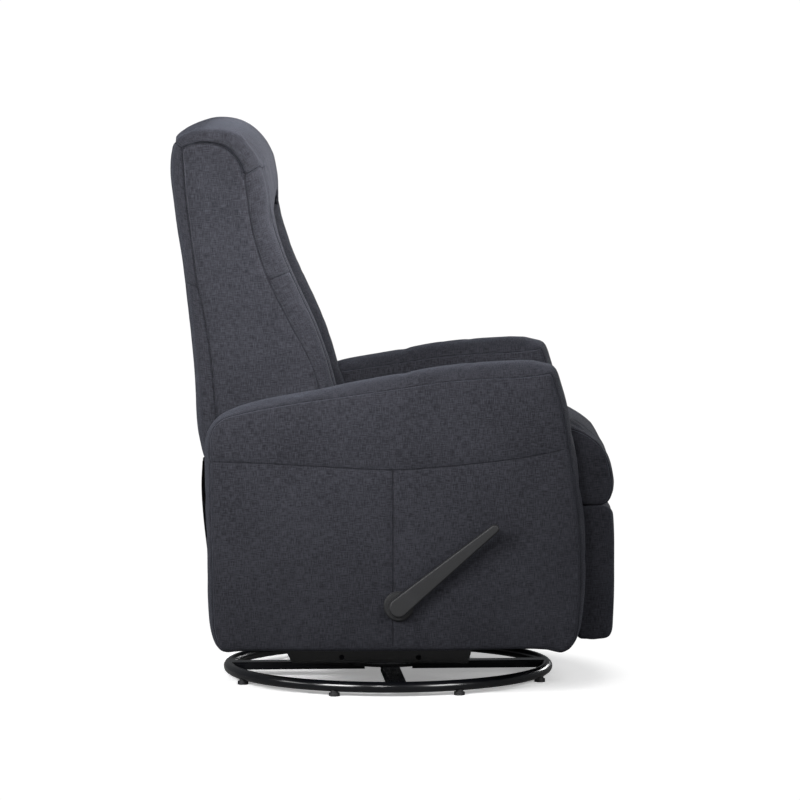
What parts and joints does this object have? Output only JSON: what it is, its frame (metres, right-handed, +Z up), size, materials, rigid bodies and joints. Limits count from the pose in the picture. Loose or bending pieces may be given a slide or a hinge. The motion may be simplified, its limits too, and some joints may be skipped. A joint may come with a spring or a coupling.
{
  "type": "swivel glider recliner",
  "caption": "Upholstered armchair that swivels and glides on a round tube base, with a reclining back, a fold-out footrest and a side release handle.",
  "frame": {"origin": "on the floor under the swivel axis, at the centre of the ring of foot pads", "axes": "+Z up, the sitter faces -Y, +X is the sitter's left and -X the side with the release handle"},
  "size_m": [0.7645, 0.7967, 1.0356],
  "materials": {
    "upholstery": "woven",
    "black_steel": "gloss",
    "zinc_steel": "satin",
    "frame_wood": "raw",
    "black_plastic": "matte",
    "handle_plastic": "textured",
    "flap_cloth": "plain cloth",
    "bearing_steel": "polished"
  },
  "bodies": {
    "floor_base": {"base_ring": "black_steel", "base_spokes": "black_steel", "foot_pads": "black_plastic", "base_hub": "black_steel", "lower_race": "zinc_steel", "bearing_balls": "bearing_steel"},
    "swivel_top": {"upper_race": "zinc_steel", "swivel_bolt": "zinc_steel", "glide_cross_plate": "black_steel", "glide_side_plate_left": "black_steel", "glide_side_plate_right": "black_steel", "upper_glide_pins": "zinc_steel"},
    "front_glide": {"front_glide_links": "black_steel"},
    "rear_glide": {"rear_glide_links": "black_steel"},
    "chassis": {"hanger_plate_left": "black_steel", "hanger_plate_right": "black_steel", "lower_glide_pins": "zinc_steel", "hanger_screws": "zinc_steel", "rear_cross_rail": "frame_wood", "middle_cross_rail": "frame_wood", "front_cross_rail": "frame_wood", "rear_stretcher": "frame_wood", "seat_rail_left": "frame_wood", "seat_rail_right": "frame_wood", "arm_panel_left": "frame_wood", "arm_panel_right": "frame_wood", "padded_arm_left": "upholstery", "padded_arm_right": "upholstery", "mechanism_plate_left": "black_steel", "mechanism_plate_right": "black_steel", "pivot_pins": "zinc_steel", "seat_springs": "zinc_steel", "spring_clips": "zinc_steel", "seat_cushion": "upholstery", "rear_flap": "flap_cloth", "handle_escutcheon": "handle_plastic"},
    "backrest": {"back_posts": "frame_wood", "back_rails": "frame_wood", "recline_brackets": "black_steel", "back_webbing": "flap_cloth", "back_cover": "upholstery", "head_pillow": "upholstery", "lumbar_cushion": "upholstery", "bolster_left": "upholstery", "bolster_right": "upholstery"},
    "release": {"pull_handle": "handle_plastic", "handle_shaft": "zinc_steel", "crank_arm": "black_steel"},
    "rod": {"drive_rod": "black_steel"},
    "main_arms": {"main_links": "black_steel", "main_link_pins": "zinc_steel", "cross_tube": "black_steel"},
    "swing_arms": {"swing_links": "black_steel"},
    "long_arms": {"long_links": "black_steel", "long_link_pins": "zinc_steel"},
    "guide_arms": {"guide_links": "black_steel"},
    "footrest": {"footrest_brackets": "black_steel", "footrest_pins": "zinc_steel", "footrest_board": "frame_wood", "footrest_pad": "upholstery"}
  },
  "joints": [
    {"name": "swivel", "type": "hinge", "parent": "floor_base", "child": "swivel_top", "pos_m": [0, 0, 0.03], "axis": [0, 0, 1], "continuous": true},
    {"name": "glide", "type": "hinge", "parent": "swivel_top", "child": "front_glide", "pos_m": [0, -0.116, 0.205], "axis": [-1, 0, 0], "range_deg": [-26, 26]},
    {"name": "glide_level", "type": "hinge", "parent": "front_glide", "child": "chassis", "pos_m": [0, -0.116, 0.105], "axis": [-1, 0, 0], "range_deg": [-26, 26]},
    {"name": "glide_rear", "type": "hinge", "parent": "swivel_top", "child": "rear_glide", "pos_m": [0, 0.144, 0.205], "axis": [-1, 0, 0], "range_deg": [-26, 26]},
    {"name": "recline", "type": "hinge", "parent": "chassis", "child": "backrest", "pos_m": [0, 0.24, 0.352], "axis": [-1, 0, 0], "range_deg": [0, 32], "deforming": ["rear_flap"]},
    {"name": "footrest_open", "type": "hinge", "parent": "chassis", "child": "main_arms", "pos_m": [0, -0.272, 0.301], "axis": [-1, 0, 0], "range_deg": [0, 97]},
    {"name": "footrest_swing", "type": "hinge", "parent": "chassis", "child": "swing_arms", "pos_m": [0, -0.21449, 0.2483], "axis": [-1, 0, 0], "range_deg": [0, 97]},
    {"name": "footrest_reach", "type": "hinge", "parent": "main_arms", "child": "long_arms", "pos_m": [0, -0.19782, 0.16149], "axis": [-1, 0, 0], "range_deg": [-97, 0]},
    {"name": "footrest_guide", "type": "hinge", "parent": "main_arms", "child": "guide_arms", "pos_m": [0, -0.16966, 0.10852], "axis": [-1, 0, 0], "range_deg": [-97, 0]},
    {"name": "footrest_tilt", "type": "hinge", "parent": "long_arms", "child": "footrest", "pos_m": [0, -0.33, 0.28261], "axis": [-1, 0, 0], "range_deg": [0, 97]},
    {"name": "handle_pull", "type": "hinge", "parent": "chassis", "child": "release", "pos_m": [0, -0.02, 0.173], "axis": [-1, 0, 0], "range_deg": [0, 97]},
    {"name": "rod_swing", "type": "hinge", "parent": "release", "child": "rod", "pos_m": [0, 0.00817, 0.12002], "axis": [-1, 0, 0], "range_deg": [-97, 0]}
  ],
  "couplings": [
    {"joint": "glide_level", "follows": "glide", "ratio": -1},
    {"joint": "glide_rear", "follows": "glide", "ratio": 1},
    {"joint": "footrest_swing", "follows": "footrest_open", "ratio": 1},
    {"joint": "footrest_reach", "follows": "footrest_open", "ratio": -1},
    {"joint": "footrest_guide", "follows": "footrest_open", "ratio": -1},
    {"joint": "footrest_tilt", "follows": "footrest_open", "ratio": 1},
    {"joint": "handle_pull", "follows": "footrest_open", "ratio": 1},
    {"joint": "rod_swing", "follows": "footrest_open", "ratio": -1}
  ]
}
